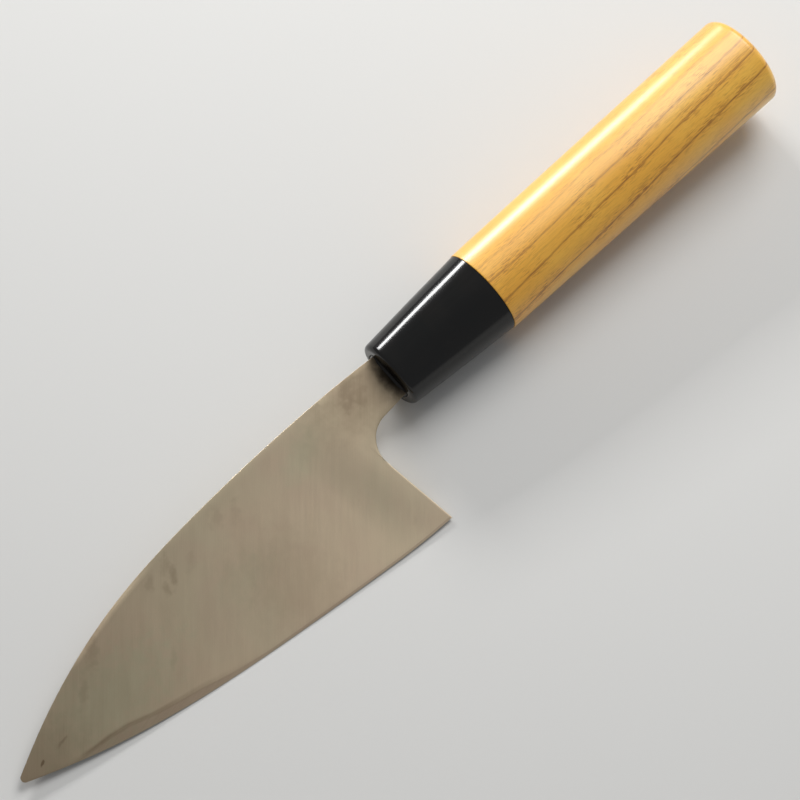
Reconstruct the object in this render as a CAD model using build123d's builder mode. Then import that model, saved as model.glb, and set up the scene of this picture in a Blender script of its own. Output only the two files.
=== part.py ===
from build123d import *
from math import cos, radians, sin
import os

# A small deba: a single-bevel kitchen knife with a hidden tang, a black ferrule and a D-shaped handle.
# Millimetres. It lies on a table with its hollow-ground back up, the butt toward +X and the spine toward +Y.

# Driving dimensions, in the knife's own frame: it starts at the ferrule's mouth on the handle's axis,
# with x toward the butt, y toward the spine and z out of the back.
blade_reach = 136.45       # mouth to the tip, before it is rounded
heel_setback = 12.65       # mouth to the heel corner
spine_rise = 7.35          # axis up to the top of the spine
tip_drop = 13.65           # axis down to the tip
heel_drop = 37.25          # axis down to the heel corner
blade_thickness = 4.2      # from the neck to the heel
tip_thickness = 1.3
steel_thickness = 1.3      # hard steel at the heel
steel_tip_thickness = 0.6  # hard steel at the tip
bevel_width = 14.0         # edge to the ridge line, at the heel
edge_land = 0.15           # steel left at the cutting edge
rim_width = 1.5            # flat rim around the hollow
hollow_depth = 0.45
tip_radius = 1.15
tip_loss = 1.7             # what the rounding takes off the reach

neck_rise = 6.35           # at the mouth
neck_drop = 6.15
neck_flare = 1.35          # how far the neck's underside drops toward the heel
heel_lean = 4.1            # how far the heel's back edge leans toward the tip
notch_radius = 8.2

tang_length = 88.0
tang_end_width = 6.0
tang_end_thickness = 2.4
tang_gap = 0.15            # tang to the wood
bore_spare = 3.0           # bore past the tang's end

ferrule_length = 33.4
mouth_height = 19.2
mouth_depth = 17.6
joint_height = 24.5        # where the ferrule meets the wood
joint_depth = 20.2
ferrule_wall = 1.7
mouth_wall = 2.6
mouth_round = 1.2
seal_width = 0.6           # resin around the tang
seal_recess = 0.25

handle_length = 130.9      # mouth to the butt's rim
butt_height = 26.6
butt_depth = 21.8
butt_crown = 1.2
butt_round = 3.3
tenon_gap = 0.1
ridge_rise = 0.8           # how far the handle's ridge stands out of the oval
ridge_round = 1.5

overrun = 2.0              # how far a cutter passes what it cuts

# The pose at rest, in degrees: the ferrule's ridge and the belly of the edge lie on the table.
rest_pitch = 2.44          # butt raised
rest_roll = 16.3           # spine raised

# The blade's shape at stations from the tip to the heel, as shares of the sizes above.
station_shares = (0.0965, 0.2115, 0.3865, 0.5645, 0.8025, 0.93)
spine_rise_shares = (0.279, 0.55, 0.82, 0.943, 1.0, 0.9985)
edge_drop_shares = (0.199, 0.398, 0.617, 0.7675, 0.9225, 0.9865)
bevel_width_shares = (0.6, 0.78, 0.9, 0.96, 1.0, 1.0)
hollow_depth_shares = (0.06, 0.6, 0.95, 1.0, 0.85, 0.06)
heel_spine_share = 0.987   # the spine above the heel
tip_bevel_share = 0.45
ridge_side_share = 0.25    # the handle's ridge lies this far from the middle, toward the edge
ridge_slope_share = 0.3

# Sizes and places that follow from them.
back = blade_thickness / 2
edge_run = blade_reach - heel_setback
edge_fall = heel_drop - tip_drop
spine_climb = spine_rise + tip_drop
thinning = blade_thickness - tip_thickness
neck_width = neck_rise + neck_drop
neck_middle = (neck_rise - neck_drop) / 2

stations = [-blade_reach + share * edge_run for share in station_shares]
spine_levels = [-tip_drop + share * spine_climb for share in spine_rise_shares]
edge_levels = [-tip_drop - share * edge_fall for share in edge_drop_shares]

tip = (-blade_reach, -tip_drop)
heel = (-heel_setback, -heel_drop)
heel_top = (-heel_setback, -tip_drop + heel_spine_share * spine_climb)
notch_corner = (-heel_setback - heel_lean, -neck_drop - neck_flare)
neck_low = (0, -neck_drop)
neck_high = (0, neck_rise)

# The knife's frame in the part's frame, where the table is z = 0 and the knife is centred.
pitch = radians(rest_pitch)
roll = radians(rest_roll)
along = Vector(cos(pitch), 0, sin(pitch))
outward = Vector(-sin(pitch) * cos(roll), -sin(roll), cos(pitch) * cos(roll))
mouth_x = (blade_reach - tip_loss - handle_length - butt_crown) / 2 * cos(pitch)
mouth_y = (heel_drop * cos(roll) + back * sin(roll) - butt_height / 2) / 2
mouth_z = mouth_height / 2 * ridge_side_share * sin(roll) + (mouth_depth / 2 + ridge_rise) * cos(roll)
knife = Plane(origin=(mouth_x, mouth_y, mouth_z), x_dir=along, z_dir=outward)
side = Plane(origin=knife.origin, x_dir=knife.x_dir, z_dir=-knife.y_dir)


def across(distance):
    """The plane square to the handle at a distance from the mouth, x toward the spine and y outward."""
    return Plane(origin=knife.from_local_coords((distance, 0, 0)), x_dir=knife.y_dir, z_dir=knife.x_dir)


def handle_section(distance, inset=0):
    """The handle's section at a distance from the mouth: half an oval, and two curves to a ridge."""
    if distance < ferrule_length:
        share = distance / ferrule_length
        height = mouth_height + share * (joint_height - mouth_height)
        depth = mouth_depth + share * (joint_depth - mouth_depth)
    else:
        share = (distance - ferrule_length) / (handle_length - ferrule_length)
        height = joint_height + share * (butt_height - joint_height)
        depth = joint_depth + share * (butt_depth - joint_depth)
    reach = height / 2 - inset
    swell = depth / 2 - inset
    ridge = (-reach * ridge_side_share, -swell - ridge_rise)
    with BuildSketch(Plane.XY) as section:
        with BuildLine():
            EllipticalCenterArc((0, 0), reach, swell, start_angle=0, arc_size=180)
            Spline((-reach, 0), ridge, tangents=((0, -1), (1, -ridge_slope_share)))
            Spline(ridge, (reach, 0), tangents=((1, ridge_slope_share), (0, 1)))
        make_face()
        fillet(section.vertices().sort_by(Axis.Y)[0], ridge_round)
    return section.sketch


def bevel_section(edge_level, station, width):
    """What the bevel takes away at one station: all under the slope from the edge to the ridge line."""
    face_level = -back + thinning * (-station - heel_setback) / edge_run
    rise = back - edge_land - face_level
    steepness = rise / width
    outer = (edge_level - overrun, back - edge_land + overrun * steepness)
    inner = (edge_level + width + overrun, face_level - overrun * steepness)
    floor = -back - overrun
    with BuildSketch(Plane.XY) as section:
        with BuildLine():
            Polyline(outer, inner, (inner[0], floor), (outer[0], floor), close=True)
        make_face()
    return section.sketch


def hollow_section(low, high, depth):
    """What the hollow takes away at one station: an arc under the back's plane, and the air above it."""
    with BuildSketch(Plane.XY) as section:
        with BuildLine():
            ThreePointArc((low, back), ((low + high) / 2, back - depth), (high, back))
            Polyline((high, back), (high, back + overrun), (low, back + overrun), (low, back))
        make_face()
    return section.sketch


# The outline of blade and neck, seen from the back.
with BuildSketch(Plane.XY) as outline:
    with BuildLine():
        Spline(neck_high, heel_top, *reversed(list(zip(stations, spine_levels))), tip)
        Spline(tip, *zip(stations, edge_levels), heel)
        Polyline(heel, notch_corner, neck_low, neck_high)
    make_face()
    fillet(outline.vertices().sort_by_distance(notch_corner)[0], notch_radius)
    fillet(outline.vertices().sort_by_distance(tip)[0], tip_radius)

# The blade's side of a line along the heel's back edge. The neck is on the other side.
lean = heel_lean / (heel_drop - neck_drop - neck_flare)
with BuildSketch(Plane.XY) as blade_side:
    with BuildLine():
        Polyline(
            (-heel_setback + lean * overrun, -heel_drop - overrun),
            (-heel_setback - lean * (heel_drop + spine_rise + overrun), spine_rise + overrun),
            (-blade_reach - overrun, spine_rise + overrun),
            (-blade_reach - overrun, -heel_drop - overrun),
            close=True,
        )
    make_face()

# The wedge that thins the blade from the heel to the tip, on the bevel's side.
with BuildPart() as thinning_wedge:
    with BuildSketch(side):
        with BuildLine():
            Polyline(
                (-heel_setback, -back),
                (-heel_setback, -back - overrun),
                (-blade_reach - overrun, -back - overrun),
                (-blade_reach - overrun, -back + thinning * (edge_run + overrun) / edge_run),
                close=True,
            )
        make_face()
    extrude(amount=heel_drop + overrun, both=True)

# The blade without its neck, before it is parted into hard steel and soft iron.
with BuildPart() as blade:
    with BuildSketch(knife.offset(-back)):
        add(outline.sketch)
        add(blade_side.sketch, mode=Mode.INTERSECT)
    extrude(amount=blade_thickness)
    add(thinning_wedge.part, mode=Mode.SUBTRACT)
    with BuildSketch(across(-blade_reach - overrun)):
        add(bevel_section(-tip_drop, -blade_reach, bevel_width * tip_bevel_share))
    for station, level, share in zip(stations, edge_levels, bevel_width_shares):
        with BuildSketch(across(station)):
            add(bevel_section(level, station, bevel_width * share))
    with BuildSketch(across(-heel_setback + overrun)):
        add(bevel_section(-heel_drop, -heel_setback, bevel_width))
    loft(mode=Mode.SUBTRACT)
    for station, high, low, share in zip(stations, spine_levels, edge_levels, hollow_depth_shares):
        with BuildSketch(across(station)):
            add(hollow_section(low + rim_width, high - rim_width, hollow_depth * share))
    loft(mode=Mode.SUBTRACT)

# Hard steel and soft iron are forge-welded on a plane that nears the back toward the tip.
steel_heel = knife.from_local_coords((-heel_setback, 0, back - steel_thickness))
steel_tip = knife.from_local_coords((-blade_reach, 0, back - steel_tip_thickness))
weld_dir = steel_heel - steel_tip
weld = Plane(origin=steel_heel, x_dir=weld_dir, z_dir=weld_dir.cross(knife.y_dir))

with BuildPart() as hard_steel:
    add(blade.part)
    split(bisect_by=weld, keep=Keep.TOP)
hard_steel.part.label = "hard_steel"

with BuildPart() as tang:
    with BuildSketch(across(0)):
        with Locations((neck_middle, 0)):
            Rectangle(neck_width, blade_thickness)
    with BuildSketch(across(tang_length)):
        with Locations((neck_middle, 0)):
            Rectangle(tang_end_width, tang_end_thickness)
    loft()

with BuildPart() as soft_iron:
    with BuildSketch(knife.offset(-back)):
        add(outline.sketch)
        add(blade_side.sketch, mode=Mode.SUBTRACT)
    extrude(amount=blade_thickness)
    add(thinning_wedge.part, mode=Mode.SUBTRACT)
    add(split(blade.part, bisect_by=weld, keep=Keep.BOTTOM, mode=Mode.PRIVATE))
    add(tang.part)
soft_iron.part.label = "soft_iron"

# The ferrule is a tapered cup with its closed end toward the blade.
with BuildPart() as ferrule:
    with BuildSketch(across(0)):
        add(handle_section(0))
    with BuildSketch(across(ferrule_length)):
        add(handle_section(ferrule_length))
    loft()
    fillet(ferrule.faces().sort_by(Axis(knife.origin, along))[0].edges(), mouth_round)
    with BuildSketch(across(mouth_wall)):
        add(handle_section(mouth_wall, ferrule_wall))
    with BuildSketch(across(ferrule_length)):
        add(handle_section(ferrule_length, ferrule_wall))
    loft(mode=Mode.SUBTRACT)
    with BuildSketch(across(0)):
        with Locations((neck_middle, 0)):
            Rectangle(neck_width + 2 * seal_width, blade_thickness + 2 * seal_width)
    extrude(amount=mouth_wall, mode=Mode.SUBTRACT)
ferrule.part.label = "ferrule"

with BuildPart() as tang_seal:
    with BuildSketch(across(seal_recess)):
        with Locations((neck_middle, 0)):
            Rectangle(neck_width + 2 * seal_width, blade_thickness + 2 * seal_width)
    extrude(amount=mouth_wall - seal_recess)
    add(tang.part, mode=Mode.SUBTRACT)
tang_seal.part.label = "tang_seal"

# The handle has a tenon in the ferrule, a bore for the tang, and a butt cut from a ball for its crown.
crown_radius = ((butt_height / 2) ** 2 + butt_crown ** 2) / (2 * butt_crown)
with BuildPart() as handle:
    with BuildSketch(across(ferrule_length)):
        add(handle_section(ferrule_length))
    with BuildSketch(across(handle_length + butt_crown)):
        add(handle_section(handle_length + butt_crown))
    loft()
    fillet(handle.faces().sort_by(Axis(knife.origin, along))[-1].edges(), butt_round)
    with Locations(across(handle_length + butt_crown - crown_radius)):
        Sphere(crown_radius, mode=Mode.INTERSECT)
    with BuildSketch(across(mouth_wall + tenon_gap)):
        add(handle_section(mouth_wall + tenon_gap, ferrule_wall + tenon_gap))
    with BuildSketch(across(ferrule_length)):
        add(handle_section(ferrule_length, ferrule_wall + tenon_gap))
    loft()
    with BuildSketch(across(0)):
        with Locations((neck_middle, 0)):
            Rectangle(neck_width + 2 * tang_gap, blade_thickness + 2 * tang_gap)
    with BuildSketch(across(tang_length + bore_spare)):
        with Locations((neck_middle, 0)):
            Rectangle(tang_end_width + 2 * tang_gap, tang_end_thickness + 2 * tang_gap)
    loft(mode=Mode.SUBTRACT)
handle.part.label = "handle"

os.makedirs("parts", exist_ok=True)
for piece in (hard_steel, soft_iron, ferrule, tang_seal, handle):
    export_step(piece.part, f"parts/{piece.part.label}.step")
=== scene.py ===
import bpy
import bmesh
import numpy as np
from math import acos, atan2, copysign, cos, pi, radians, sin, sqrt
from mathutils import Matrix, Vector


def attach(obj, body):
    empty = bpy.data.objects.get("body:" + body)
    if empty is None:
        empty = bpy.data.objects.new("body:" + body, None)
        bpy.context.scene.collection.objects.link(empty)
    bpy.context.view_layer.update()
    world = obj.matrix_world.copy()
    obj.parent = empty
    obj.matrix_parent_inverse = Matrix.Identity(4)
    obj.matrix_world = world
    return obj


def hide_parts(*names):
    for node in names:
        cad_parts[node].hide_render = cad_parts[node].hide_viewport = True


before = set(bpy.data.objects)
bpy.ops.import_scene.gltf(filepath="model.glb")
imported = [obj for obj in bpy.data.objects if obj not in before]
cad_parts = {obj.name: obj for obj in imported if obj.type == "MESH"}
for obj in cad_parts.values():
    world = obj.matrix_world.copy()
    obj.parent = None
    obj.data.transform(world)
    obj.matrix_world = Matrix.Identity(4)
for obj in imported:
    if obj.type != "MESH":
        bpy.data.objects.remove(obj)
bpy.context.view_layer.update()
print("frame loaded")

mm = 0.001
mergeDistance = 0.000002      # points nearer than this become one, in metres

# The knife's own space: x toward the butt, y toward the spine, z out of the hollow back, all in mm.
knifePose = {
    "pitch": 2.44,            # butt raised, degrees
    "roll": 16.3,             # spine raised, degrees
    "mouth": (1.324, 11.521, 9.888),
}
pitch = radians(knifePose["pitch"])
roll = radians(knifePose["roll"])
alongDir = Vector((cos(pitch), 0, sin(pitch)))
outDir = Vector((-sin(pitch) * cos(roll), -sin(roll), cos(pitch) * cos(roll)))
acrossDir = outDir.cross(alongDir)
mouthPoint = Vector(knifePose["mouth"])
knifeTurn = Matrix((alongDir, acrossDir, outDir)).transposed().to_euler()


def toScene(x, y, z):
    return (mouthPoint + alongDir * float(x) + acrossDir * float(y) + outDir * float(z)) * mm


def addObject(name, data):
    thing = bpy.data.objects.new(name, data)
    bpy.context.scene.collection.objects.link(thing)
    return thing


def newPiece(name, bm, creaseAngle=32):
    bmesh.ops.remove_doubles(bm, verts=bm.verts, dist=mergeDistance)
    bmesh.ops.recalc_face_normals(bm, faces=bm.faces)
    mesh = bpy.data.meshes.new(name)
    bm.to_mesh(mesh)
    bm.free()
    for face in mesh.polygons:
        face.use_smooth = True
    mesh.set_sharp_from_angle(angle=radians(creaseAngle))
    return addObject(name, mesh)


def skinRings(bm, rings, capFirst=True, capLast=True, finish=None, shade=None):
    # rings are closed loops of knife-space points, all of one length
    # finish(x, i) gives a face its material, and shade(x, y, z) gives a point its painted rim shade
    layer = bm.verts.layers.float.new("rimPaintedShade") if shade else None
    rows = [[bm.verts.new(toScene(*p)) for p in ring] for ring in rings]
    if shade:
        for ring, row in zip(rings, rows):
            for p, vert in zip(ring, row):
                vert[layer] = shade(*p)
    count = len(rows[0])
    for ring, near, far in zip(rings, rows, rows[1:]):
        for i in range(count):
            j = (i + 1) % count
            face = bm.faces.new((near[i], near[j], far[j], far[i]))
            if finish:
                face.material_index = finish(ring[i][0], i)
    if capFirst:
        bm.faces.new(rows[0][::-1])
    if capLast:
        bm.faces.new(rows[-1])


def smoothRun(points, samples=400):
    # natural cubic spline through the points, spaced by their chords
    pts = np.array(points, float)
    knots = np.concatenate(([0], np.cumsum(np.linalg.norm(np.diff(pts, axis=0), axis=1))))
    gaps = np.diff(knots)
    n = len(pts)
    system = np.eye(n)
    right = np.zeros((n, 2))
    for i in range(1, n - 1):
        system[i, i - 1:i + 2] = (gaps[i - 1], 2 * (gaps[i - 1] + gaps[i]), gaps[i])
        right[i] = 6 * ((pts[i + 1] - pts[i]) / gaps[i] - (pts[i] - pts[i - 1]) / gaps[i - 1])
    bend = np.linalg.solve(system, right)
    at = np.linspace(0, knots[-1], samples)
    seg = np.clip(np.searchsorted(knots, at, side="right") - 1, 0, n - 2)
    h = gaps[seg][:, None]
    a = (knots[seg + 1] - at)[:, None]
    b = (at - knots[seg])[:, None]
    return (bend[seg] * a ** 3 + bend[seg + 1] * b ** 3) / (6 * h) \
        + (pts[seg] / h - bend[seg] * h / 6) * a + (pts[seg + 1] / h - bend[seg + 1] * h / 6) * b


def smoothStep(low, high, value):
    t = min(max((value - low) / (high - low), 0), 1)
    return t * t * (3 - 2 * t)


# Blade. The outline runs from the tip along spine and edge to the heel.
blade = {
    "reach": 136.43,
    "heelSetback": 12.65,
    "heelDrop": 37.25,
    "heelTopShare": 0.987,    # the spine's height above the heel, as a share of its climb
    "tipDrop": 13.65,
    "spineRise": 7.35,
    "thickness": 4.2,
    "tipThickness": 1.3,
    "steel": 1.3,             # hard steel at the heel
    "steelTip": 0.6,
    "bevelWidth": 14.0,
    "bevelLead": 2.0,         # the bevel's widths start this far before the tip
    "edgeLand": 0.15,
    "wheelRadius": 360.0,     # the wheel that ground the hollow
    "hollowHeel": (1.5, 16),  # where it fades in, from the heel's back edge
    "hollowTip": (-131, -122),
    "spineRim": 0.9,
    "honedStrip": 0.3,        # the bright line along the edge
    "corner": 0.3,            # eased corners
    "easedFrom": (-16.1, -17.6),      # the heel's back edge is eased below the neck
    "spineCorner": 0.1,
    "wornSlope": 0.45,        # a narrow facet rubbed along the spine before the tip
    "wornTip": (-108, -102),
    "wornHeel": (-74, -86),
    "tipRadius": 1.15,
    "heelLean": 4.1,
    "neckRise": 6.35,
    "neckDrop": 6.15,
    "neckFlare": 1.35,
    "notchRadius": 8.2,
    "tangLength": 88.0,
    "tangEndWidth": 6.0,
    "tangEndThickness": 2.4,
    "weldWave": 0.05,         # waviness of the weld line
}
stationShares = (0.0965, 0.2115, 0.3865, 0.5645, 0.8025, 0.93)
spineShares = (0.279, 0.55, 0.82, 0.943, 1.0, 0.9985)
edgeShares = (0.199, 0.398, 0.617, 0.7675, 0.9225, 0.9865)
bevelShares = (0.45, 0.6, 0.78, 0.9, 0.96, 1.0, 1.0, 1.0)
# the flat rim's width along the edge, widest before the tip
edgeRimRun = (
    (-136, 0.4), (-121, 0.5), (-117, 1.3), (-112, 2.4), (-107, 2.9),
    (-100, 2.3), (-88, 2.0), (-80, 1.2), (-70, 0.7), (-12, 0.6),
)
# waves of the weld line: height, radians per mm along and across, and shift
weldWaves = ((1.0, 0.31, 0.0, 0.0), (0.6, 0.73, 0.0, 1.2), (0.4, 1.7, 0.4, 0.0))
tipSamples = 6                # samples of the outline that give its direction at the tip

backHeight = blade["thickness"] / 2
edgeRun = blade["reach"] - blade["heelSetback"]
spineClimb = blade["spineRise"] + blade["tipDrop"]
edgeFall = blade["heelDrop"] - blade["tipDrop"]
neckWidth = blade["neckRise"] + blade["neckDrop"]
neckMiddle = (blade["neckRise"] - blade["neckDrop"]) / 2
tipX = -blade["reach"]
heelX = -blade["heelSetback"]
landLevel = backHeight - blade["edgeLand"]
stationX = [tipX + share * edgeRun for share in stationShares]
tipY = -blade["tipDrop"]
heelTopY = tipY + blade["heelTopShare"] * spineClimb
spinePoints = [(tipX, tipY)]
spinePoints += [(x, tipY + share * spineClimb) for x, share in zip(stationX, spineShares)]
spinePoints += [(heelX, heelTopY), (0, blade["neckRise"])]
edgePoints = [(tipX, tipY)]
edgePoints += [(x, tipY - share * edgeFall) for x, share in zip(stationX, edgeShares)]
edgePoints += [(heelX, -blade["heelDrop"])]
spineLine = smoothRun(spinePoints)
edgeLine = smoothRun(edgePoints)
bevelX = [tipX - blade["bevelLead"]] + stationX + [heelX]
leanSlope = blade["heelLean"] / (blade["heelDrop"] - blade["neckDrop"] - blade["neckFlare"])
seamTopX = heelX - leanSlope * (blade["heelDrop"] + heelTopY)


def spineY(x):
    return float(np.interp(x, spineLine[:, 0], spineLine[:, 1]))


def edgeY(x):
    return float(np.interp(x, edgeLine[:, 0], edgeLine[:, 1]))


def tipRound():
    # centre of the rounded tip, and where the round meets spine and edge
    up = atan2(*(spineLine[tipSamples] - spineLine[0])[::-1])
    down = atan2(*(edgeLine[tipSamples] - edgeLine[0])[::-1])
    half = (up - down) / 2
    middle = (up + down) / 2
    reach = blade["tipRadius"] / sin(half)
    touch = blade["tipRadius"] * cos(half) / sin(half)
    centre = Vector((tipX + reach * cos(middle), tipY + reach * sin(middle)))
    return centre, tipX + touch * cos(up), tipX + touch * cos(down)


tipCentre, roundTopX, roundLowX = tipRound()


def roundHalf(x):
    return sqrt(max(blade["tipRadius"] ** 2 - (x - tipCentre.x) ** 2, 0))


def topEnd(x):
    return tipCentre.y + roundHalf(x) if x < roundTopX else spineY(x)


def lowEnd(x):
    return tipCentre.y - roundHalf(x) if x < roundLowX else edgeY(x)


def flatLevel(x):
    # the bevel side's flat, which nears the back toward the tip
    thinning = blade["thickness"] - blade["tipThickness"]
    share = min(max((heelX - x) / edgeRun, 0), 1)
    return -backHeight + thinning * share


def weldLevel(x, y):
    share = (heelX - x) / edgeRun
    depth = blade["steel"] + (blade["steelTip"] - blade["steel"]) * share
    waves = sum(high * sin(x * along + y * across + shift) for high, along, across, shift in weldWaves)
    return backHeight - depth + blade["weldWave"] * waves


def bevelWidthAt(x):
    return blade["bevelWidth"] * float(np.interp(x, bevelX, bevelShares))


def bevelLevel(x, fromEdge):
    return landLevel - (landLevel - flatLevel(x)) * fromEdge / bevelWidthAt(x)


def edgeRim(x):
    return float(np.interp(x, *zip(*edgeRimRun)))


def backLevel(x, y, toHeel):
    # the wheel's hollow inside a flat rim, faded out before the heel and the tip
    fromSpine = spineY(x) - y - blade["spineRim"]
    fromEdge = y - edgeY(x) - edgeRim(x)
    if fromSpine <= 0 or fromEdge <= 0:
        return backHeight
    ground = smoothStep(*blade["hollowHeel"], toHeel) * smoothStep(*blade["hollowTip"], x)
    return backHeight - ground * fromSpine * fromEdge / (2 * blade["wheelRadius"])


def stationLine(share):
    # a line across the blade, upright at the tip and along the heel's back edge at the end
    topX = tipX + share * (seamTopX - tipX)
    lowX = tipX + share * edgeRun
    return Vector((topX, topEnd(topX))), Vector((lowX, lowEnd(lowX)))


def cornerArc(corner, steps=5):
    # (inset, drop) pairs round a corner from flat to wall
    turns = [i / (steps - 1) * pi / 2 for i in range(steps)]
    return [(corner * (1 - sin(t)), corner * (1 - cos(t))) for t in turns]


def spread(low, high, count):
    return [low + (high - low) * i / (count - 1) for i in range(count)]


def wornDrop(x, fromTop):
    worn = smoothStep(*blade["wornTip"], x) * smoothStep(*blade["wornHeel"], x)
    return blade["wornSlope"] * worn * max(blade["spineRim"] - fromTop, 0)


darkLine = {
    "heelEnd": (-66, -100),
    "tipEnd": (-124, -116),
    "middle": 0.25,           # from the rim into the hollow
    "halfWidth": 0.75,
}


def rimPaintedShade(x, y, z):
    # painted shade: a dark line where the hollow runs into the flat rim, strongest before the tip
    fromRim = y - edgeY(x) - edgeRim(x)
    strength = smoothStep(*darkLine["heelEnd"], x) * smoothStep(*darkLine["tipEnd"], x)
    off = abs(fromRim - darkLine["middle"]) / darkLine["halfWidth"]
    return strength * max(1 - off, 0) if z > 0 else 0


def heelEase(y, toHeel):
    # how far the corner of the heel's back edge is eased, nothing where the neck goes on
    corner = blade["corner"]
    if toHeel >= corner:
        return 0
    ease = corner - sqrt(max(corner ** 2 - (corner - toHeel) ** 2, 0))
    return ease * smoothStep(*blade["easedFrom"], y)


bladeRows = {
    "tipRound": 9,
    "point": 12,
    "body": 190,
    "pointEnd": 0.06,         # shares of the edge's run where the point and the body end
    "bodyEnd": 0.995,
    "heel": (1.0, 0.7, 0.45, 0.25, 0.1, 0.0),     # distances to the heel's back edge, in corners
}
steelRows = {"corner": 5, "spineRim": 4, "hollow": 44, "edgeRim": 5, "honed": 3, "bevel": 10, "weld": 6}
ironRows = {
    "weld": 8, "bevel": 16, "flat": 12, "corner": 5,
    "notch": 28, "neck": 14, "neckFlat": 12, "tang": 24,
    "easeIn": 3,              # rows over which the neck's low corner grows
}
# near the tip a strip takes no more than this share of the blade's width
widthShares = {
    "spineCorner": 0.15, "spineRim": 0.25, "edgeRim": 0.35, "honed": 0.1,
    "corner": 0.1, "weld": 0.98, "ridge": 0.99,
}
leastWidth = 0.01
leastSteel = 0.02             # how thin each layer gets where it runs out
leastIron = 0.002


def bladeShares():
    first = tipCentre.x - blade["tipRadius"]
    turns = [i / bladeRows["tipRound"] * pi / 2 for i in range(bladeRows["tipRound"])]
    shares = [(first + (roundTopX - first) * (1 - cos(turn)) - tipX) / edgeRun for turn in turns]
    shares += spread((roundTopX - tipX) / edgeRun, bladeRows["pointEnd"], bladeRows["point"])[:-1]
    shares += spread(bladeRows["pointEnd"], bladeRows["bodyEnd"], bladeRows["body"])
    corner = blade["corner"] / edgeRun
    shares += [1 - corner * distance for distance in bladeRows["heel"]]
    return shares


def weldReach(low, width):
    # how far from the edge the weld comes out on the bevel
    rise = landLevel - flatLevel(low.x)
    reach = (landLevel - weldLevel(low.x, low.y)) * bevelWidthAt(low.x) / rise
    return min(reach, width * widthShares["weld"])


def linePoint(top, low, width, fromTop):
    return top + (low - top) * min(fromTop / width, 1)


def hardSteelRing(share):
    top, low = stationLine(share)
    width = max((top - low).length, leastWidth)
    toHeel = (1 - share) * edgeRun
    corner = min(blade["spineCorner"], width * widthShares["spineCorner"])
    spineRim = min(blade["spineRim"], width * widthShares["spineRim"])
    lowRim = min(edgeRim(low.x), width * widthShares["edgeRim"])
    honed = min(blade["honedStrip"], width * widthShares["honed"])

    def backPoint(fromTop, drop=0):
        x, y = linePoint(top, low, width, fromTop)
        return x, y, backLevel(x, y, toHeel) - drop - wornDrop(x, fromTop) - heelEase(y, toHeel)

    def underPoint(fromTop):
        x, y = linePoint(top, low, width, fromTop)
        level = max(bevelLevel(x, y - edgeY(low.x)), weldLevel(x, y))
        return x, y, min(level, backPoint(fromTop)[2] - leastSteel)

    reach = weldReach(low, width)
    arc = cornerArc(corner, steelRows["corner"])
    ring = [backPoint(inset, drop) for inset, drop in reversed(arc)]
    stops = (corner, spineRim, width - lowRim, width - honed, width)
    for start, end, strip in zip(stops, stops[1:], ("spineRim", "hollow", "edgeRim", "honed")):
        ring += [backPoint(d) for d in spread(start, end, steelRows[strip])[1:]]
    ring += [underPoint(d) for d in spread(width, width - reach, steelRows["bevel"])]
    ring += [underPoint(d) for d in spread(width - reach, 0, steelRows["weld"])[1:]]
    return ring


def softIronRing(share):
    top, low = stationLine(share)
    width = (top - low).length
    toHeel = (1 - share) * edgeRun
    corner = min(blade["corner"], width * widthShares["corner"])

    def weldPoint(fromTop):
        x, y = linePoint(top, low, width, fromTop)
        return x, y, weldLevel(x, y)

    def underPoint(fromTop, drop=0):
        x, y = linePoint(top, low, width, fromTop)
        level = max(bevelLevel(x, y - edgeY(low.x)), flatLevel(x)) + drop + heelEase(y, toHeel)
        return x, y, min(level, weldLevel(x, y) - leastIron)

    reach = weldReach(low, width)
    ridge = min(bevelWidthAt(low.x), width * widthShares["ridge"])
    ring = [weldPoint(d) for d in spread(0, width - reach, ironRows["weld"])]
    ring += [underPoint(d) for d in spread(width - reach, width - ridge, ironRows["bevel"])[1:]]
    ring += [underPoint(d) for d in spread(width - ridge, corner, ironRows["flat"])[1:-1]]
    ring += [underPoint(inset, drop) for inset, drop in cornerArc(corner, ironRows["corner"])]
    return ring


def buildHardSteel():
    bm = bmesh.new()
    rimStart = steelRows["corner"] + steelRows["spineRim"] + steelRows["hollow"] - 3
    honedStart = rimStart + steelRows["edgeRim"] - 1

    def finish(x, i):
        # the hollow, the rim along the edge, and the honed strip with all that is under it
        if i >= honedStart:
            return 2
        return 1 if i >= rimStart else 0

    skinRings(bm, [hardSteelRing(share) for share in bladeShares()], finish=finish, shade=rimPaintedShade)
    return newPiece("bladeHardSteel", bm)


def neckLines():
    # lines across the neck, fanned around the notch: top, low, and the wall's way out at low
    cornerPoint = Vector((heelX - blade["heelLean"], -blade["neckDrop"] - blade["neckFlare"]))
    backEdge = Vector((leanSlope, -1)).normalized()          # down the heel's back edge
    underside = Vector((-cornerPoint.x, blade["neckFlare"])).normalized()
    opening = acos(backEdge.dot(underside))
    radius = blade["notchRadius"]
    tangent = radius / (sin(opening / 2) / cos(opening / 2))
    centre = cornerPoint + (backEdge + underside).normalized() * (radius / sin(opening / 2))
    first = cornerPoint + backEdge * tangent
    last = cornerPoint + underside * tangent
    a0 = atan2(first.y - centre.y, first.x - centre.x)
    a1 = atan2(last.y - centre.y, last.x - centre.x)
    if a0 < 0:
        a0 += 2 * pi
    lines = []
    for t in spread(0, 1, ironRows["notch"]):
        turn = a0 + (a1 - a0) * t
        out = Vector((cos(turn), sin(turn)))
        topX = seamTopX + (last.x - seamTopX) * t
        lines.append((Vector((topX, spineY(topX))), centre + out * radius, -out))
    down = Vector((underside.y, -underside.x))
    for x in spread(last.x, 0, ironRows["neck"])[1:]:
        low = last + underside * ((x - last.x) / underside.x)
        lines.append((Vector((x, spineY(x))), low, down))
    return lines


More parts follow.
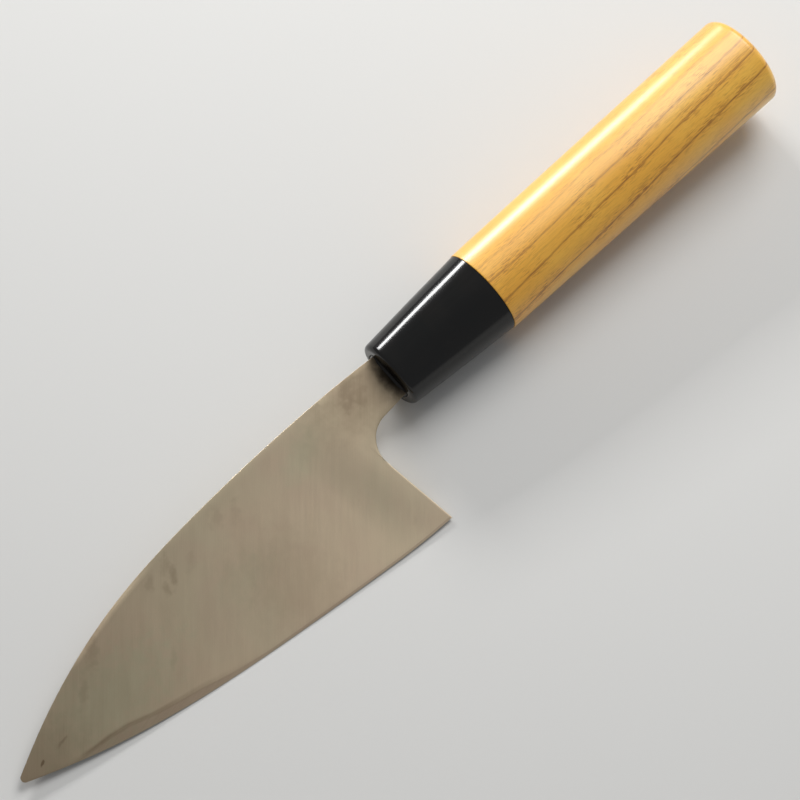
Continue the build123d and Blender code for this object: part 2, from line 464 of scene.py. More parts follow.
def boxRing(top, low, out, upper, lower, lowCorner):
    # a ring with four eased corners: flat faces at upper and at lower(x), walls at top and low
    down = (low - top).normalized()
    start = top + down * blade["spineCorner"]
    end = low - out * lowCorner
    topArc = [(top + down * inset, drop) for inset, drop in cornerArc(blade["spineCorner"])]
    lowArc = [(low - out * inset, drop) for inset, drop in cornerArc(lowCorner)]
    flat = [start + (end - start) * t for t in spread(0, 1, ironRows["neckFlat"])[1:-1]]
    ring = [(*p, upper - drop) for p, drop in reversed(topArc)]
    ring += [(*p, upper) for p in flat]
    ring += [(*p, upper - drop) for p, drop in lowArc]
    ring += [(*p, lower(p.x) + drop) for p, drop in reversed(lowArc)]
    ring += [(*p, lower(p.x)) for p in reversed(flat)]
    ring += [(*p, lower(p.x) + drop) for p, drop in topArc]
    return ring


def buildSoftIron():
    bm = bmesh.new()
    bevelEnd = ironRows["weld"] + ironRows["bevel"] - 2

    def finish(x, i):
        return 1 if i < bevelEnd else 0

    shares = bladeShares()[bladeRows["tipRound"] - 1:]
    skinRings(bm, [softIronRing(share) for share in shares], finish=finish)
    corner = blade["corner"]
    rings = []
    for row, (top, low, out) in enumerate(neckLines()):
        lowCorner = corner * smoothStep(0, ironRows["easeIn"], row)
        rings.append(boxRing(top, low, out, backHeight, flatLevel, lowCorner))
    down = Vector((0, -1))
    for x in spread(0, blade["tangLength"], ironRows["tang"])[1:]:
        share = x / blade["tangLength"]
        width = neckWidth * (1 - share) + blade["tangEndWidth"] * share
        half = (blade["thickness"] * (1 - share) + blade["tangEndThickness"] * share) / 2
        top = Vector((x, neckMiddle + width / 2))
        low = Vector((x, neckMiddle - width / 2))
        rings.append(boxRing(top, low, down, half, lambda x, half=half: -half, corner))
    skinRings(bm, rings)
    return newPiece("bladeSoftIron", bm)


hardSteel = buildHardSteel()
softIron = buildSoftIron()
print("blade built")

# Handle and ferrule share one section: half an oval on the back's side, a soft ridge on the other.
handle = {
    "ferruleLength": 33.4,
    "mouthHeight": 19.2,
    "mouthDepth": 17.6,
    "jointHeight": 24.5,
    "jointDepth": 20.2,
    "length": 130.9,
    "buttHeight": 26.58,
    "buttDepth": 21.78,
    "buttCrown": 1.2,
    "buttRound": 3.3,
    "ridgeRise": 0.8,
    "ridgeSide": 0.25,
    "ridgeSlope": 0.3,
    "fullness": 1.15,         # how far the two sides bulge on their way to the ridge
    "ridgeSoft": 10,          # rounds of smoothing, over so many points on each side
    "ridgeReach": 5,
    "ferruleWall": 1.7,
    "mouthWall": 2.6,
    "mouthRound": 1.2,
    "jointGroove": 0.12,      # the fine dark line between ferrule and wood
    "jointStep": 0.15,        # the wood stands this proud of the ferrule
    "tenonGap": 0.1,
    "slotSpare": 0.6,         # resin around the tang
    "slotPower": 0.32,        # how square the slot is
    "around": 128,
}
lumpWaves = ((1.0, 3, 0.5), (0.6, 7, 0.0))     # height, waves around the slot, and shift


def handleSize(x):
    # half the height and half the depth of the section at x
    joint = handle["ferruleLength"]
    if x < joint:
        t = x / joint
        pairs = (("mouthHeight", "jointHeight"), ("mouthDepth", "jointDepth"))
    else:
        t = (x - joint) / (handle["length"] - joint)
        pairs = (("jointHeight", "buttHeight"), ("jointDepth", "buttDepth"))
    return [(handle[near] + t * (handle[far] - handle[near])) / 2 for near, far in pairs]


def hermite(p0, m0, p1, m1, t):
    a = 2 * t ** 3 - 3 * t ** 2 + 1
    b = t ** 3 - 2 * t ** 2 + t
    c = -2 * t ** 3 + 3 * t ** 2
    d = t ** 3 - t ** 2
    return a * p0 + b * m0 + c * p1 + d * m1


def handleRing(x, inset=0):
    # points around the section at x: the oval half first, then the two sides that meet in the ridge
    high, deep = handleSize(x)
    high -= inset
    deep -= inset
    count = handle["around"]
    quarter = count // 4
    turns = [pi * i / (2 * quarter) for i in range(2 * quarter)]
    ring = [(high * cos(turn), deep * sin(turn)) for turn in turns]
    ridge = Vector((-high * handle["ridgeSide"], -deep - handle["ridgeRise"]))
    left = Vector((-high, 0))
    right = Vector((high, 0))
    lowPull = (ridge - left).length * handle["fullness"]
    highPull = (right - ridge).length * handle["fullness"]
    down = Vector((0, -lowPull))
    into = Vector((1, -handle["ridgeSlope"])).normalized() * lowPull
    away = Vector((1, handle["ridgeSlope"])).normalized() * highPull
    up = Vector((0, highPull))
    for curve in ((left, down, ridge, into), (ridge, away, right, up)):
        ring += [tuple(hermite(*curve, i / quarter)) for i in range(quarter)]
    pts = np.array(ring)
    # the ridge is rounded: points near it drift to the mean of their neighbours
    near = handle["ridgeReach"]
    for _ in range(handle["ridgeSoft"]):
        soft = (np.roll(pts, 1, axis=0) + np.roll(pts, -1, axis=0)) / 2
        for k in range(-near, near + 1):
            j = (3 * quarter + k) % count
            weight = (1 - abs(k) / (near + 1)) / 2
            pts[j] = pts[j] * (1 - weight) + soft[j] * weight
    return [(x, y, z) for y, z in pts]


def slotRing(x, grow, lump=0.0):
    # a rounded slot around the tang, with as many points as the handle's rings
    high = neckWidth / 2 + grow
    deep = backHeight + grow
    ring = []
    for i in range(handle["around"]):
        turn = 2 * pi * i / handle["around"]
        y = neckMiddle + high * copysign(abs(cos(turn)) ** handle["slotPower"], cos(turn))
        z = deep * copysign(abs(sin(turn)) ** handle["slotPower"], sin(turn))
        lumps = sum(height * sin(waves * turn + shift) for height, waves, shift in lumpWaves)
        ring.append((x + lump * lumps, y, z))
    return ring


ferruleRows = {
    "bore": 4,
    "slot": ((0.35, 0), (0.1, 0.12), (0, 0.35)),     # behind the face, and how much wider there
    "face": (0, 0.35, 0.7, 1.0),
    "round": 10,
    "wall": 42,
    "stepFrom": 0.4,          # share of the length where it starts to draw in for the step
}


def buildFerrule():
    bm = bmesh.new()
    length = handle["ferruleLength"]
    wall = handle["ferruleWall"]
    spare = handle["slotSpare"]
    corner = handle["mouthRound"]
    groove = handle["jointGroove"]
    rings = [handleRing(x, wall) for x in spread(length, handle["mouthWall"], ferruleRows["bore"])]
    rings.append(slotRing(handle["mouthWall"], spare))
    *flare, rim = [slotRing(behind, spare + wider) for behind, wider in ferruleRows["slot"]]
    rings += flare
    face = handleRing(0, corner)
    for t in ferruleRows["face"]:
        pairs = zip(rim, face)
        rings.append([(0, a[1] + (b[1] - a[1]) * t, a[2] + (b[2] - a[2]) * t) for a, b in pairs])
    for turn in spread(0, pi / 2, ferruleRows["round"])[1:]:
        x = corner * (1 - cos(turn))
        rings.append(handleRing(x, corner * (1 - sin(turn))))
    for x in spread(corner, length - groove, ferruleRows["wall"])[1:]:
        drawn = smoothStep(length * ferruleRows["stepFrom"], length, x)
        rings.append(handleRing(x, handle["jointStep"] * drawn))
    rings.append(handleRing(length, handle["jointStep"] + groove))
    rings.append(rings[0])
    skinRings(bm, rings, capFirst=False, capLast=False)
    return newPiece("ferruleCup", bm, creaseAngle=40)


woodRows = {
    "groove": 4,
    "side": 120,
    "sideFrom": 0.5,          # behind the joint
    "round": 12,
    "crown": (0.93, 0.85, 0.75, 0.62, 0.48, 0.33, 0.18, 0.06),     # shares of the butt's radius
}


def buildHandle():
    bm = bmesh.new()
    length = handle["length"]
    start = handle["ferruleLength"]
    groove = handle["jointGroove"]
    wall = handle["ferruleWall"] + handle["tenonGap"]
    corner = handle["buttRound"]
    crown = handle["buttCrown"]
    high = handleSize(length)[0]
    ball = (high ** 2 + crown ** 2) / (2 * crown)

    def crownX(reach):
        return length + crown - (ball - sqrt(ball ** 2 - reach ** 2))

    rings = [handleRing(x, wall) for x in (handle["mouthWall"] + handle["tenonGap"], start / 2, start)]
    for turn in spread(0, pi / 2, woodRows["groove"]):
        x = start + groove * (1 - cos(turn))
        rings.append([(x, p[1], p[2]) for p in handleRing(start, groove * (1 - sin(turn)))])
    base = length + crown - corner
    rings += [handleRing(x) for x in spread(start + woodRows["sideFrom"], base, woodRows["side"])]
    rimX = crownX(high - corner)
    for turn in spread(0, pi / 2, woodRows["round"])[1:]:
        x = base + (rimX - base) * sin(turn)
        rings.append([(x, p[1], p[2]) for p in handleRing(length, corner * (1 - cos(turn)))])
    edge = handleRing(length, corner)
    for t in woodRows["crown"]:
        rings.append([(crownX((high - corner) * t), p[1] * t, p[2] * t) for p in edge])
    skinRings(bm, rings)
    return newPiece("handleWood", bm, creaseAngle=40)


seal = {
    "collar": 0.45,           # how far the resin creeps out along the tang
    "behind": 0.15,           # how far behind the face it starts to
    "straight": 0.4,          # how far behind the face it still fills the slot
    "fall": 1.6,
    "gap": 0.02,
    "lump": 0.05,
    "rows": 5,
}


def buildSeal():
    # resin that fills the slot and creeps a little way out along the tang
    bm = bmesh.new()
    gap = seal["gap"]
    spare = handle["slotSpare"]
    rings = [slotRing(x, spare - gap) for x in (handle["mouthWall"], seal["straight"])]
    for t in spread(0, 1, seal["rows"]):
        x = seal["behind"] - (seal["behind"] + seal["collar"]) * t
        grow = gap + (spare - 2 * gap) * (1 - t) ** seal["fall"]
        rings.append(slotRing(x, grow, seal["lump"] * t))
    skinRings(bm, rings)
    return newPiece("tangResin", bm, creaseAngle=60)


ferrule = buildFerrule()
handleWood = buildHandle()
tangResin = buildSeal()
print("ferrule, handle and seal built")

for piece, node, slot in (
    (hardSteel, "hard_steel", "hard_steel"),
    (softIron, "soft_iron", "soft_iron"),
    (ferrule, "ferrule", "ferrule"),
    (handleWood, "handle", "handle_wood"),
    (tangResin, "tang_seal", "tang_seal"),
):
    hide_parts(node)
    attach(piece, "root")


# Materials
def newGroup(name, inputs, output, kind="NodeSocketFloat"):
    group = bpy.data.node_groups.new(name, "ShaderNodeTree")
    for label, value in inputs.items():
        vector = value is None or isinstance(value, tuple)
        socketType = "NodeSocketVector" if vector else "NodeSocketFloat"
        socket = group.interface.new_socket(name=label, in_out="INPUT", socket_type=socketType)
        if value is not None:
            socket.default_value = value
    group.interface.new_socket(name=output, in_out="OUTPUT", socket_type=kind)
    start = group.nodes.new("NodeGroupInput").outputs
    return group, start, group.nodes.new("NodeGroupOutput").inputs[0]


def addNode(tree, kind, **settings):
    node = tree.nodes.new(kind)
    for key, value in settings.items():
        setattr(node, key, value)
    return node


def feed(tree, socket, value):
    if isinstance(value, (int, float, tuple)):
        socket.default_value = value
    else:
        tree.links.new(value, socket)


def mathNode(tree, operation, *values, clamp=False):
    node = addNode(tree, "ShaderNodeMath", operation=operation, use_clamp=clamp)
    for socket, value in zip(node.inputs, values):
        feed(tree, socket, value)
    return node.outputs[0]


def rampNode(tree, value, low, high):
    node = addNode(tree, "ShaderNodeMapRange", interpolation_type="SMOOTHSTEP")
    feed(tree, node.inputs["Value"], value)
    feed(tree, node.inputs["From Min"], low)
    feed(tree, node.inputs["From Max"], high)
    return node.outputs[0]


def mixColor(tree, factor, a, b):
    node = addNode(tree, "ShaderNodeMix", data_type="RGBA")
    for socket, value in ((node.inputs[0], factor), (node.inputs[6], a), (node.inputs[7], b)):
        feed(tree, socket, value)
    return node.outputs[2]


def fade(tree, mask, amount):
    return mathNode(tree, "MULTIPLY", mask, amount)


def addSome(tree, mask, amount, base, clamp=False):
    return mathNode(tree, "MULTIPLY_ADD", mask, amount, base, clamp=clamp)


def fromHalf(tree, noise):
    return mathNode(tree, "SUBTRACT", noise, 0.5)


def strongest(tree, masks):
    most = masks[0]
    for mask in masks[1:]:
        most = mathNode(tree, "MAXIMUM", most, mask)
    return most


def turnAndDivide(tree, vector, angle, size):
    # the vector turned about the third axis, then counted in sizes
    turn = addNode(tree, "ShaderNodeVectorRotate", rotation_type="Z_AXIS")
    feed(tree, turn.inputs["Vector"], vector)
    feed(tree, turn.inputs["Angle"], angle)
    divide = addNode(tree, "ShaderNodeVectorMath", operation="DIVIDE")
    feed(tree, divide.inputs[0], turn.outputs[0])
    feed(tree, divide.inputs[1], size)
    return divide.outputs[0]


def fromSrgb(r, g, b):
    parts = [c / 255 for c in (r, g, b)]
    return (*[c / 12.92 if c <= 0.04045 else ((c + 0.055) / 1.055) ** 2.4 for c in parts], 1.0)


def makeKnifeSpace():
    # the knife's own coordinates in mm, so that patterns follow blade and handle
    group, _, end = newGroup("knifeSpace", {}, "Position", "NodeSocketVector")
    coords = addNode(group, "ShaderNodeTexCoord")
    turn = addNode(group, "ShaderNodeMapping", vector_type="TEXTURE")
    turn.inputs["Location"].default_value = mouthPoint * mm
    turn.inputs["Rotation"].default_value = knifeTurn
    turn.inputs["Scale"].default_value = (mm, mm, mm)
    feed(group, turn.inputs["Vector"], coords.outputs["Object"])
    feed(group, end, turn.outputs["Vector"])
    return group


def makeStreaks():
    # noise drawn out into streaks: Stretch is the size of a streak along each axis, in mm
    inputs = {"Position": None, "Stretch": (40, 0.4, 0.4), "Turn": 0.0, "Contrast": 1.0, "Detail": 3.0}
    group, start, end = newGroup("streaks", inputs, "Mask")
    noise = addNode(group, "ShaderNodeTexNoise")
    noise.inputs["Scale"].default_value = 1
    drawn = turnAndDivide(group, start["Position"], start["Turn"], start["Stretch"])
    feed(group, noise.inputs["Vector"], drawn)
    feed(group, noise.inputs["Detail"], start["Detail"])
    centred = fromHalf(group, noise.outputs["Fac"])
    feed(group, end, addSome(group, centred, start["Contrast"], 0.5, clamp=True))
    return group


def makePatches():
    # soft cloudy patches above a threshold
    inputs = {"Position": None, "Size": 20.0, "Threshold": 0.5, "Softness": 0.15}
    group, start, end = newGroup("patches", inputs, "Mask")
    noise = addNode(group, "ShaderNodeTexNoise")
    noise.inputs["Detail"].default_value = 4
    noise.inputs["Distortion"].default_value = 0.4
    feed(group, noise.inputs["Vector"], start["Position"])
    feed(group, noise.inputs["Scale"], mathNode(group, "DIVIDE", 1.0, start["Size"]))
    low = mathNode(group, "SUBTRACT", start["Threshold"], start["Softness"])
    high = mathNode(group, "ADD", start["Threshold"], start["Softness"])
    feed(group, end, rampNode(group, noise.outputs["Fac"], low, high))
    return group


spotShape = {
    "grain": 0.45,            # scale of the noise that frays the rim
    "fray": 4.0,
    "core": 0.15,             # share of the size that is at full strength
}


def makeRaggedSpot():
    # one ragged spot of Size mm around Place, turned about it
    inputs = {"Position": None, "Place": (0, 0, 0), "Size": (5, 5, 5), "Turn": 0.0, "Ragged": 0.5}
    group, start, end = newGroup("raggedSpot", inputs, "Mask")
    offset = addNode(group, "ShaderNodeVectorMath", operation="SUBTRACT")
    feed(group, offset.inputs[0], start["Position"])
    feed(group, offset.inputs[1], start["Place"])
    length = addNode(group, "ShaderNodeVectorMath", operation="LENGTH")
    away = turnAndDivide(group, offset.outputs[0], start["Turn"], start["Size"])
    feed(group, length.inputs[0], away)
    noise = addNode(group, "ShaderNodeTexNoise")
    noise.inputs["Scale"].default_value = spotShape["grain"]
    noise.inputs["Detail"].default_value = 5
    feed(group, noise.inputs["Vector"], start["Position"])
    uneven = fade(group, fromHalf(group, noise.outputs["Fac"]), start["Ragged"])
    far = addSome(group, uneven, spotShape["fray"], length.outputs["Value"])
    feed(group, end, rampNode(group, far, 1.0, spotShape["core"]))
    return group


knifeSpace = makeKnifeSpace()
streaks = makeStreaks()
patches = makePatches()
raggedSpot = makeRaggedSpot()


def useGroup(tree, group, **values):
    node = addNode(tree, "ShaderNodeGroup", node_tree=group)
    for key, value in values.items():
        feed(tree, node.inputs[key], value)
    return node.outputs[0]


def newMaterial(name):
    material = bpy.data.materials.new(name)
    material.use_nodes = True
    tree = material.node_tree
    return material, tree, tree.nodes["Principled BSDF"].inputs


def finishSurface(tree, shader, color, rough, height, strength, depth):
    # height is the bump's, depth its depth in mm
    feed(tree, shader["Base Color"], color)
    feed(tree, shader["Roughness"], rough)
    bump = addNode(tree, "ShaderNodeBump")
    bump.inputs["Strength"].default_value = strength
    bump.inputs["Distance"].default_value = depth * mm
    feed(tree, bump.inputs["Height"], height)
    feed(tree, shader["Normal"], bump.outputs["Normal"])


steelLook = {
    "warm": fromSrgb(223, 203, 174),
    "cool": fromSrgb(208, 203, 171),
    "rose": fromSrgb(217, 191, 167),
    # patina colour, also taken by the painted shade
    "patinaAndShade": fromSrgb(126, 108, 86),
    # colour of the painted shadow that the ferrule casts on the neck
    "paintedShadow": fromSrgb(40, 32, 25),
    "haze": fromSrgb(168, 162, 152),
    "cloud": 0.4,             # how much each effect shows
    "rosy": 0.35,
    "hazeCloud": 0.3,
    # painted shade: the back darkens toward the tip, over tipRun
    "tipPaintedShade": 0.47,
    "tipRun": (-30.0, -135.0),
    "smudge": 0.06,
    "broad": 0.045,
    "broadStretch": (1.5, 7), # times a scratch's length and width
    # how strongly the painted shade line at the rim shows
    "rimLine": 0.4,
    "fineRough": 0.1,
    "stainAndShadeRough": 0.15,
    "paintedShadowRough": 0.2,
    "bump": (0.12, 0.012),    # strength, and depth in mm
}
# (x, y), (length, width), turn in degrees and strength of the spots on the back
coolSpots = (
    ((-62, -13), (12, 7), 0, 0.3), ((-31, 0), (11, 5), 30, 0.32), ((-106, -13), (30, 13), 0, 0.7),
    ((-22, -20), (9, 5), 60, 0.2),
)
brownSpots = (
    ((-74.2, 2.4), (3.6, 2.0), 48, 0.16), ((-74.8, -1.0), (4.2, 1.5), 55, 0.26),
    ((-78.0, -2.8), (2.6, 1.4), 48, 0.22), ((-80.4, 1.2), (3.8, 1.5), 48, 0.16),
    ((-69.5, -1.5), (5.0, 1.6), 48, 0.1), ((-57.5, 2.6), (5.0, 3.0), 48, 0.13),
    ((-52.4, 0.2), (4.0, 1.7), 48, 0.12), ((-128.6, -13.9), (1.8, 0.5), 30, 0.55),
    ((-121, -13), (2.5, 0.6), 10, 0.2), ((-101.5, -1.5), (7, 2.4), 48, 0.14),
    ((-110, -8), (6, 1.6), 48, 0.1), ((-88, -16), (4, 1.2), 48, 0.08),
    ((-11, 4.4), (7, 4), 60, 0.14), ((-9, 1.6), (6, 2.4), 48, 0.12), ((-20, -31), (2, 1), 48, 0.08),
)
# soft painted shade on the back: darker beside the ferrule, toward the tip, and toward the edge in the
# middle of the blade
paintedShades = (
    ((-6, 2), (27, 16), 0, 0.42), ((-54, -22), (18, 26), 0, 0.19), ((-129, -13), (18, 12), 0, 0.13),
)
# painted shadow of the ferrule on the neck, darkest right beside it
neckPaintedShadow = (
    ((0.5, -0.8), (5.5, 12.5), 0, 0.97), ((0.5, -2.5), (4.0, 6), 0, 0.85), ((1.5, 0), (9, 12), 0, 0.3),
)


def addSpots(tree, position, spots, ragged, depth=2.5):
    # the strongest of the spots at each point
    masks = []
    for (x, y), (length, width), turn, amount in spots:
        spot = useGroup(tree, raggedSpot, Position=position, Place=(x, y, backHeight),
                        Size=(length, width, depth), Turn=radians(-turn), Ragged=ragged)
        masks.append(fade(tree, spot, amount))
    return strongest(tree, masks)


def makeSteel(name, finish):
    # finish: roughness, tint, haze, and the scratches' length, width, turn and strength
    material, tree, shader = newMaterial(name)
    look = steelLook
    position = useGroup(tree, knifeSpace)
    length, width, degrees, strength = finish["scratch"]
    turn = radians(degrees)
    cloud = useGroup(tree, patches, Position=position, Size=30.0, Threshold=0.5, Softness=0.2)
    rosy = useGroup(tree, patches, Position=position, Size=15.0, Threshold=0.56, Softness=0.16)
    smudge = useGroup(tree, streaks, Position=position, Stretch=(9.0, 3.2, 6.0), Turn=turn,
                      Contrast=3.2, Detail=2.0)
    fine = useGroup(tree, streaks, Position=position, Stretch=(length, width, 2.0), Turn=turn,
                    Contrast=2.2, Detail=4.0)
    longer, wider = look["broadStretch"]
    broad = useGroup(tree, streaks, Position=position, Stretch=(length * longer, width * wider, 6.0),
                     Turn=turn, Contrast=2.4, Detail=3.0)
    color = mixColor(tree, fade(tree, cloud, look["cloud"]), look["warm"], look["cool"])
    color = mixColor(tree, addSome(tree, rosy, look["rosy"], finish["tint"]), color, look["rose"])
    color = mixColor(tree, addSpots(tree, position, coolSpots, ragged=0.35), color, look["cool"])
    if finish["haze"]:
        haze = addSome(tree, cloud, look["hazeCloud"], finish["haze"])
        color = mixColor(tree, haze, color, look["haze"])
    parts = addNode(tree, "ShaderNodeSeparateXYZ")
    feed(tree, parts.inputs[0], position)
    # the painted shade line at the rim, read from the points
    rimLine = addNode(tree, "ShaderNodeAttribute", attribute_name="rimPaintedShade")
    # painted shade: darker toward the tip
    stainAndShade = fade(tree, rampNode(tree, parts.outputs["X"], *look["tipRun"]), look["tipPaintedShade"])
    stainAndShade = addSome(tree, smudge, look["smudge"], stainAndShade)
    stainAndShade = addSome(tree, broad, look["broad"], stainAndShade)
    stainAndShade = mathNode(tree, "ADD", stainAndShade, addSpots(tree, position, brownSpots, ragged=0.5))
    # the soft painted shades
    stainAndShade = mathNode(tree, "ADD", stainAndShade, addSpots(tree, position, paintedShades, ragged=0.12))
    stainAndShade = addSome(tree, rimLine.outputs["Fac"], look["rimLine"], stainAndShade, clamp=True)
    # the ferrule's painted shadow on the neck
    paintedShadow = addSpots(tree, position, neckPaintedShadow, ragged=0.1, depth=5.0)
    # stains and painted shade turn the colour toward patina
    color = mixColor(tree, stainAndShade, color, look["patinaAndShade"])
    color = mixColor(tree, fade(tree, fine, strength), color, look["patinaAndShade"])
    color = mixColor(tree, paintedShadow, color, look["paintedShadow"])
    rough = addSome(tree, fine, look["fineRough"], finish["roughness"] - look["fineRough"] / 2)
    rough = addSome(tree, stainAndShade, look["stainAndShadeRough"], rough)
    rough = addSome(tree, paintedShadow, look["paintedShadowRough"], rough)
    finishSurface(tree, shader, color, rough, fine, *look["bump"])
    shader["Metallic"].default_value = 1.0
    return material


satin = {"roughness": 0.46, "scratch": (14.0, 0.22, -48, 0.08), "tint": 0.0, "haze": 0}
steelFinishes = {
    "hollowSatin": satin,
    "rimStoned": {"roughness": 0.42, "scratch": (22.0, 0.14, -14, 0.3), "tint": 0.5, "haze": 0},
    "edgeHoned": {"roughness": 0.34, "scratch": (8.0, 0.12, -14, 0.06), "tint": 0.0, "haze": 0},
    "ironSatin": satin,
    "bevelHaze": {"roughness": 0.58, "scratch": (10.0, 0.14, 75, 0.16), "tint": 0.0, "haze": 0.6},
}
for piece, names in (
    (hardSteel, ("hollowSatin", "rimStoned", "edgeHoned")),
    (softIron, ("ironSatin", "bevelHaze")),
):
    for name in names:
        piece.data.materials.append(makeSteel(name, steelFinishes[name]))

woodLook = {
    "pale": fromSrgb(249, 196, 76),
    "honey": fromSrgb(244, 181, 58),
    "amber": fromSrgb(222, 150, 40),
    "line": fromSrgb(150, 86, 10),
    "pore": fromSrgb(172, 110, 24),
    "tilt": 0.5,              # the rings lean through the handle's depth
    "lineWidth": 0.36,        # how far a ring line reaches to one side
    "lineTail": 1.6,          # and how many times that to the other
    "poreBand": 2.6,          # the same for the pores along a ring line
    "ferruleEnd": 38.0,
    "buttEnd": 122.0,
    "wander": 1.8,            # how far the rings stray
    "jitter": 0.5,
    "fibre": 0.32,            # how much each effect shows
    "band": 0.26,
    "poreShow": (0.85, 0.16), # in the bands, and everywhere
    "poreFrom": 0.66,         # cells below this stay closed
    "poreGain": 3.0,
    "lineShow": (0.3, 0.62),
    "roughness": 0.4,
    "fibreRough": 0.08,
    "poreRough": 0.2,
    "lineDepth": 0.5,         # beside a pore's depth
    "fibreDepth": 0.25,
    "bump": (0.25, 0.03),
}
# where each ring line lies at the ferrule end and at the butt end, across the grain, and its strength
ringLines = (
    (16.5, 15.0, 0.8), (9.5, 11.6, 0.32), (5.4, 8.7, 0.7), (2.2, 5.9, 0.24), (-0.9, 4.6, 0.9),
    (-7.6, -1.6, 1.0), (-14.3, -9.5, 0.8),
)


def makeGrowthRing():
    # a soft line at Place on the Across scale, which reaches Width to one side
    inputs = {"Across": 0.0, "Place": 0.0, "Width": 0.3}
    group, start, end = newGroup("growthRing", inputs, "Mask")
    past = mathNode(group, "SUBTRACT", start["Across"], start["Place"])
    near = rampNode(group, fade(group, past, -1.0), start["Width"], 0.0)
    far = rampNode(group, past, fade(group, start["Width"], woodLook["lineTail"]), 0.0)
    feed(group, end, fade(group, near, far))
    return group


growthRing = makeGrowthRing()


def makeWood():
    material, tree, shader = newMaterial("handleWoodGrain")
    look = woodLook
    position = useGroup(tree, knifeSpace)
    parts = addNode(tree, "ShaderNodeSeparateXYZ")
    feed(tree, parts.inputs[0], position)
    wander = useGroup(tree, streaks, Position=position, Stretch=(26.0, 14.0, 14.0), Detail=1.0)
    jitter = useGroup(tree, streaks, Position=position, Stretch=(5.0, 2.0, 2.0), Detail=3.0)
    across = addSome(tree, parts.outputs["Z"], look["tilt"], parts.outputs["Y"])
    across = addSome(tree, fromHalf(tree, wander), look["wander"], across)
    across = addSome(tree, fromHalf(tree, jitter), look["jitter"], across)
    length = look["buttEnd"] - look["ferruleEnd"]
    along = mathNode(tree, "SUBTRACT", parts.outputs["X"], look["ferruleEnd"])
    lineMasks = []
    bandMasks = []
    for atFerrule, atButt, strength in ringLines:
        place = addSome(tree, along, (atButt - atFerrule) / length, atFerrule)
        for masks, width in ((lineMasks, look["lineWidth"]), (bandMasks, look["poreBand"])):
            ring = useGroup(tree, growthRing, Across=across, Place=place, Width=width)
            masks.append(fade(tree, ring, strength))
    lines = strongest(tree, lineMasks)
    bands = strongest(tree, bandMasks)
    cells = useGroup(tree, streaks, Position=position, Stretch=(2.6, 0.17, 0.17), Contrast=5.0,
                     Detail=1.0)
    bunches = useGroup(tree, patches, Position=position, Size=10.0, Threshold=0.46, Softness=0.14)
    openCells = mathNode(tree, "SUBTRACT", cells, look["poreFrom"], clamp=True)
    pores = mathNode(tree, "MULTIPLY", openCells, look["poreGain"], clamp=True)
    pores = fade(tree, pores, addSome(tree, fade(tree, bands, bunches), *look["poreShow"]))
    fibre = useGroup(tree, streaks, Position=position, Stretch=(26.0, 0.3, 0.3), Contrast=2.0,
                     Detail=4.0)
    cloud = useGroup(tree, patches, Position=position, Size=26.0, Threshold=0.5, Softness=0.2)
    color = mixColor(tree, cloud, look["pale"], look["honey"])
    color = mixColor(tree, fade(tree, fibre, look["fibre"]), color, look["amber"])
    color = mixColor(tree, fade(tree, bands, look["band"]), color, look["amber"])
    color = mixColor(tree, pores, color, look["pore"])
    lineShow = addSome(tree, cells, *look["lineShow"], clamp=True)
    color = mixColor(tree, fade(tree, lines, lineShow), color, look["line"])
    rough = addSome(tree, fibre, look["fibreRough"], look["roughness"])
    rough = addSome(tree, pores, look["poreRough"], rough)
    sunken = mathNode(tree, "MAXIMUM", pores, fade(tree, lines, look["lineDepth"]))
    height = mathNode(tree, "SUBTRACT", fade(tree, fibre, look["fibreDepth"]), sunken)
    finishSurface(tree, shader, color, rough, height, *look["bump"])
    shader["Specular IOR Level"].default_value = 0.3
    shader["Coat Weight"].default_value = 1.0
    shader["Coat Roughness"].default_value = 0.33
    shader["Coat IOR"].default_value = 1.58
    return material


ferruleLook = {
    "black": fromSrgb(10, 10, 9),
    "brown": fromSrgb(20, 17, 14),
    "roughness": 0.12,
    "scuff": 0.06,
    "cloud": 0.5,
    "bump": (0.02, 0.02),
}


def makeFerrule():
    material, tree, shader = newMaterial("ferruleBlack")
    position = useGroup(tree, knifeSpace)
    cloud = useGroup(tree, patches, Position=position, Size=9.0, Threshold=0.55, Softness=0.2)
    scuff = useGroup(tree, streaks, Position=position, Stretch=(9.0, 0.7, 0.7), Contrast=1.6,
                     Detail=3.0)
    brown = fade(tree, cloud, ferruleLook["cloud"])
    color = mixColor(tree, brown, ferruleLook["black"], ferruleLook["brown"])
    rough = addSome(tree, scuff, ferruleLook["scuff"], ferruleLook["roughness"])
    finishSurface(tree, shader, color, rough, cloud, *ferruleLook["bump"])
    shader["Specular IOR Level"].default_value = 0.42
    return material


resinLook = {
    "dark": fromSrgb(12, 10, 8),
    "brown": fromSrgb(24, 18, 13),
    "roughness": 0.16,
    "grain": 0.15,
    "bump": (0.3, 0.05),
}


def makeResin():
    material, tree, shader = newMaterial("tangResinDark")
    position = useGroup(tree, knifeSpace)
    cloud = useGroup(tree, patches, Position=position, Size=2.0, Threshold=0.5, Softness=0.2)
    grain = useGroup(tree, streaks, Position=position, Stretch=(0.5, 0.5, 0.5), Contrast=2.0,
                     Detail=3.0)
    color = mixColor(tree, cloud, resinLook["dark"], resinLook["brown"])
    rough = addSome(tree, grain, resinLook["grain"], resinLook["roughness"])
    finishSurface(tree, shader, color, rough, grain, *resinLook["bump"])
    shader["Specular IOR Level"].default_value = 0.3
    return material


ferrule.data.materials.append(makeFerrule())
handleWood.data.materials.append(makeWood())
tangResin.data.materials.append(makeResin())
print("materials made")

# Floor, light and camera
studio = {
    "floorSize": 4.0,
    "floor": fromSrgb(216, 215, 212),
    "speck": fromSrgb(208, 207, 204),
    "speckScale": 900,
    "speckShow": 0.12,
    "world": (0.95, 0.97, 1.0),
    "worldStrength": 0.31,
}
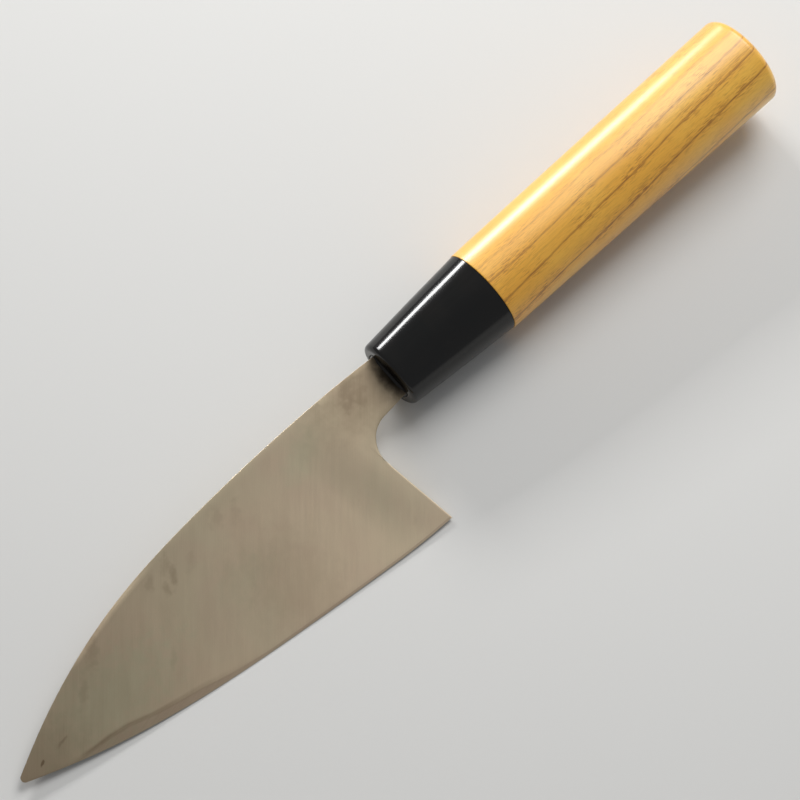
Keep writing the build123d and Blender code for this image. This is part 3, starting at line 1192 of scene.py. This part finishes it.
# aims in degrees; the strip's narrow beam keeps its light off the floor beside it
lamps = {
    "softKey": {"aim": (37, 43), "distance": 0.8, "size": (0.5, 0.5), "power": 4.7, "beam": 180},
    "windowStrip": {
        "aim": (84.5, 17), "distance": 0.9, "size": (0.36, 0.14), "power": 0.82, "beam": 70,
    },
}


def makeFloor():
    bm = bmesh.new()
    bmesh.ops.create_grid(bm, x_segments=1, y_segments=1, size=studio["floorSize"] / 2)
    mesh = bpy.data.meshes.new("studioFloor")
    bm.to_mesh(mesh)
    bm.free()
    floor = addObject("studioFloor", mesh)
    material, tree, shader = newMaterial("floorPaper")
    coords = addNode(tree, "ShaderNodeTexCoord")
    noise = addNode(tree, "ShaderNodeTexNoise")
    noise.inputs["Scale"].default_value = studio["speckScale"]
    feed(tree, noise.inputs["Vector"], coords.outputs["Object"])
    specks = fade(tree, noise.outputs["Fac"], studio["speckShow"])
    feed(tree, shader["Base Color"], mixColor(tree, specks, studio["floor"], studio["speck"]))
    shader["Roughness"].default_value = 0.9
    shader["Specular IOR Level"].default_value = 0.1
    mesh.materials.append(material)
    return floor


makeFloor()


def knifeDir(tilt, lead):
    # tilted from straight out of the back toward the spine, and led toward the butt, in degrees
    a = radians(tilt)
    b = radians(lead)
    return (outDir * cos(a) + acrossDir * sin(a)) * cos(b) + alongDir * sin(b)


def addArea(name, aim, distance, size, power, beam):
    direction = knifeDir(*aim)
    lamp = bpy.data.lights.new(name, "AREA")
    lamp.shape = "RECTANGLE"
    lamp.size, lamp.size_y = size
    lamp.energy = power
    lamp.spread = radians(beam)
    light = addObject(name, lamp)
    side = (alongDir - direction * alongDir.dot(direction)).normalized()
    turn = Matrix((side, direction.cross(side), direction)).transposed().to_4x4()
    light.matrix_world = Matrix.Translation(toScene(0, 0, 0) + direction * distance) @ turn


for name, values in lamps.items():
    addArea(name, **values)

world = bpy.data.worlds.new("studioWorld")
world.use_nodes = True
background = world.node_tree.nodes["Background"].inputs
background["Color"].default_value = (*studio["world"], 1)
background["Strength"].default_value = studio["worldStrength"]
bpy.context.scene.world = world

cameraValues = {
    "azimuth": -43.62,
    "elevation": 67.3,
    "distance": 600.0,
    "aim": (-0.161, 5.72, 6.87),
    "lens": 106.0,
}


def placeCamera():
    a = radians(cameraValues["azimuth"])
    e = radians(cameraValues["elevation"])
    back = Vector((sin(a) * cos(e), -cos(a) * cos(e), sin(e)))
    camera = bpy.data.cameras.new("photoCamera")
    camera.lens = cameraValues["lens"]
    camera.sensor_width = 36
    camera.clip_start = 0.01
    eye = addObject("photoCamera", camera)
    eye.location = (Vector(cameraValues["aim"]) + back * cameraValues["distance"]) * mm
    eye.rotation_euler = back.to_track_quat("Z", "Y").to_euler()
    bpy.context.scene.camera = eye


placeCamera()
bpy.context.scene.view_settings.view_transform = "Standard"
print("studio ready")
